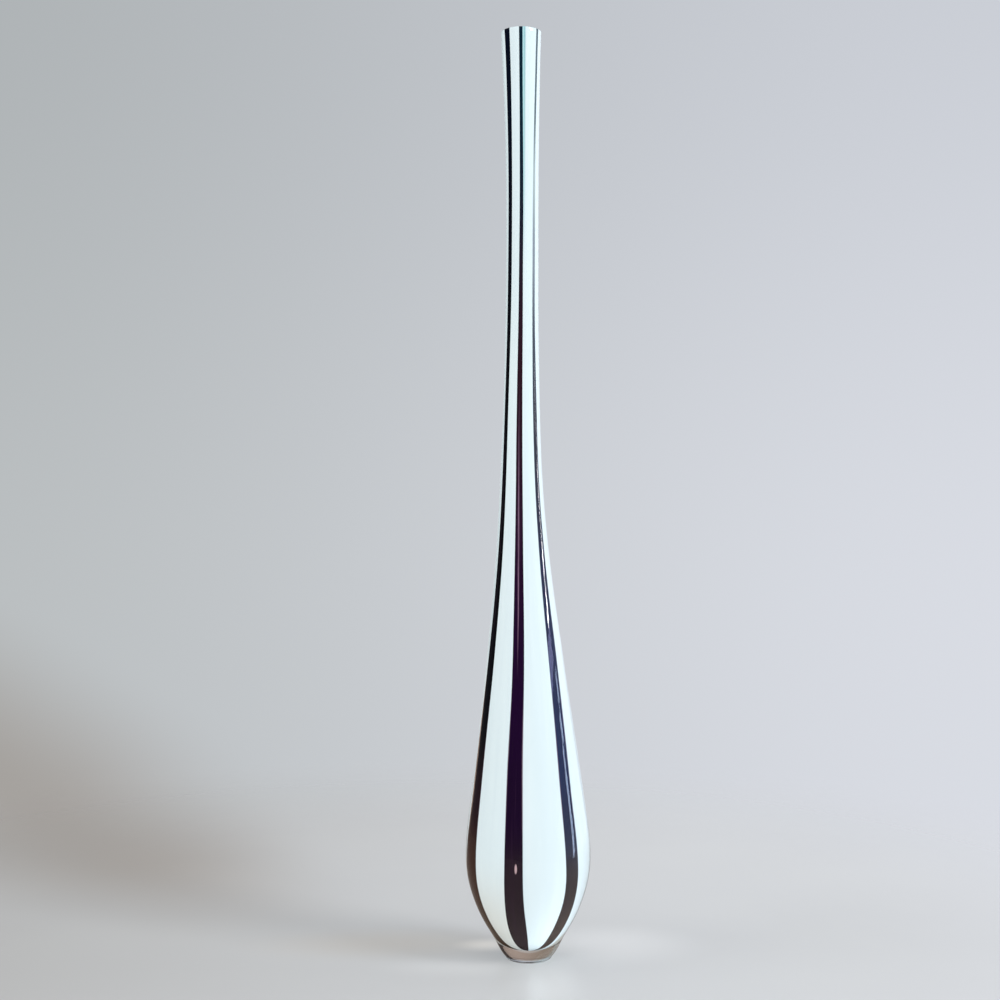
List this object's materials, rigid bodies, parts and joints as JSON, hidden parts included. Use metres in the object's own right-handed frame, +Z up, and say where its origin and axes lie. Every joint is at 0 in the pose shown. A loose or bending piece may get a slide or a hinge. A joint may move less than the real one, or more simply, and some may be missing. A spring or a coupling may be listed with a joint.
{
  "type": "stem vase",
  "caption": "Tall slender blown-glass vase with a drop-shaped belly, long narrow neck that bows slightly, flared lip, vertical stripes under clear casing and a thick clear foot.",
  "frame": {"origin": "centre of the flat foot, on the surface that the vase stands on", "axes": "+Z up along the vase's axis, -Y towards the viewer who sees the stripe numbered 2 nearly in the middle"},
  "size_m": [0.0672, 0.0672, 0.5],
  "materials": {
    "clear_glass": "polished clear crystal, fire-polished at the lip and ground flat at the foot",
    "opal_glass": "opaque milky white glass with a faint cyan cast",
    "amethyst_glass": "nearly black amethyst glass that shows mauve and brown where it is thin"
  },
  "bodies": {
    "root": {"clear_casing": "clear_glass", "opal_panel_1": "opal_glass", "opal_panel_2": "opal_glass", "opal_panel_3": "opal_glass", "opal_panel_4": "opal_glass", "opal_panel_5": "opal_glass", "opal_panel_6": "opal_glass", "amethyst_stripe_1": "amethyst_glass", "amethyst_stripe_2": "amethyst_glass", "amethyst_stripe_3": "amethyst_glass", "amethyst_stripe_4": "amethyst_glass", "amethyst_stripe_5": "amethyst_glass", "amethyst_stripe_6": "amethyst_glass"}
  },
  "joints": []
}
